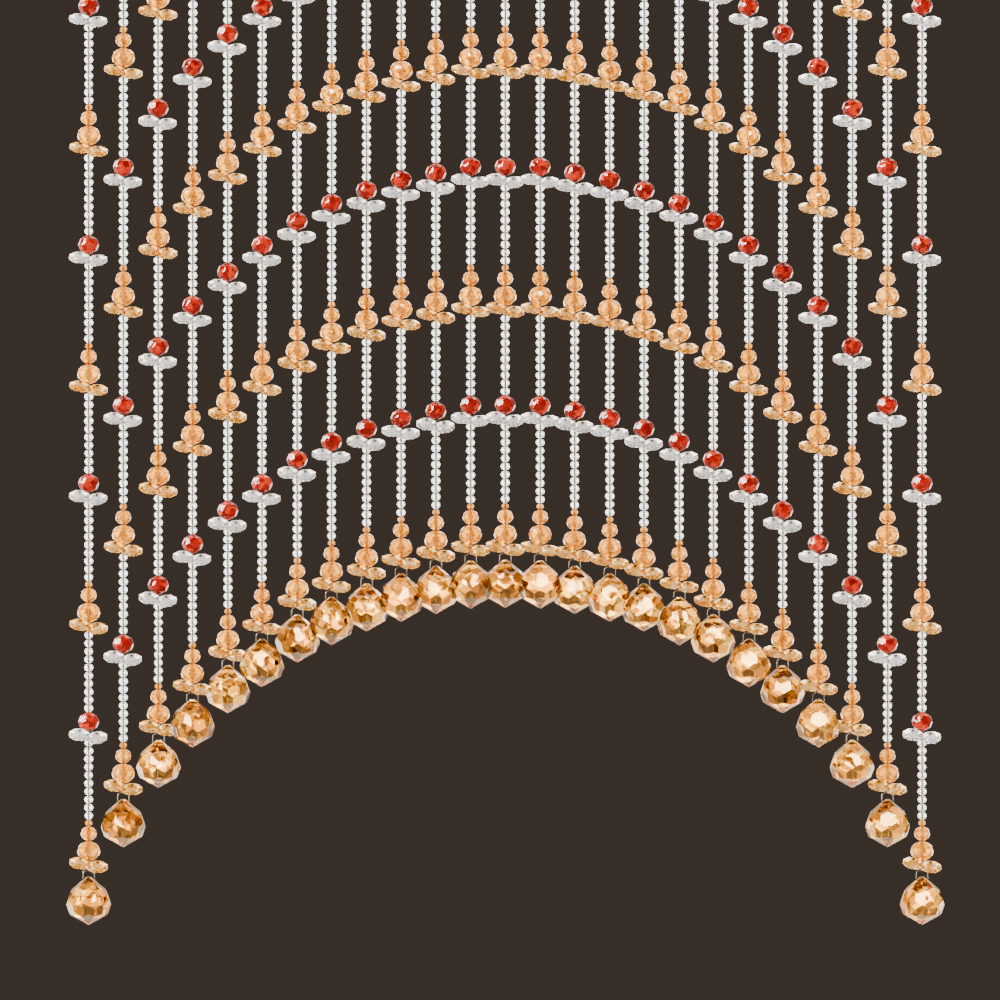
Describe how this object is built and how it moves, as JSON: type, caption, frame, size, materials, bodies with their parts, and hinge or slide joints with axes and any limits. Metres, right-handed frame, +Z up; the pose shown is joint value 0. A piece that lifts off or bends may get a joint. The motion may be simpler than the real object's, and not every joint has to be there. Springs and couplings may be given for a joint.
{
  "type": "bead curtain",
  "caption": "Arched bead curtain of clear, amber and red cut-glass strings on a narrow tape, each ending in a faceted ball.",
  "frame": {"origin": "middle of the tape's top edge, where the curtain is held up", "axes": "+Z up along the strings, X along the tape, -Y towards the viewer"},
  "size_m": [0.7902, 0.0696, 0.8867],
  "materials": {
    "strings": "strings of clear, amber and red cut glass beads",
    "amber_ball": "polished facets, champagne amber",
    "wire": "bright bent wire"
  },
  "bodies": {
    "root": {"tape_and_strings": "strings", "ball_01": "amber_ball", "ball_02": "amber_ball", "ball_03": "amber_ball", "ball_04": "amber_ball", "ball_05": "amber_ball", "ball_06": "amber_ball", "ball_07": "amber_ball", "ball_08": "amber_ball", "ball_09": "amber_ball", "ball_10": "amber_ball", "ball_11": "amber_ball", "ball_12": "amber_ball", "ball_13": "amber_ball", "ball_14": "amber_ball", "ball_15": "amber_ball", "ball_16": "amber_ball", "ball_17": "amber_ball", "ball_18": "amber_ball", "ball_19": "amber_ball", "ball_20": "amber_ball", "ball_21": "amber_ball", "ball_22": "amber_ball", "ball_23": "amber_ball", "ball_24": "amber_ball", "ball_25": "amber_ball", "ring_01": "wire", "ring_02": "wire", "ring_03": "wire", "ring_04": "wire", "ring_05": "wire", "ring_06": "wire", "ring_07": "wire", "ring_08": "wire", "ring_09": "wire", "ring_10": "wire", "ring_11": "wire", "ring_12": "wire", "ring_13": "wire", "ring_14": "wire", "ring_15": "wire", "ring_16": "wire", "ring_17": "wire", "ring_18": "wire", "ring_19": "wire", "ring_20": "wire", "ring_21": "wire", "ring_22": "wire", "ring_23": "wire", "ring_24": "wire", "ring_25": "wire"}
  },
  "joints": []
}
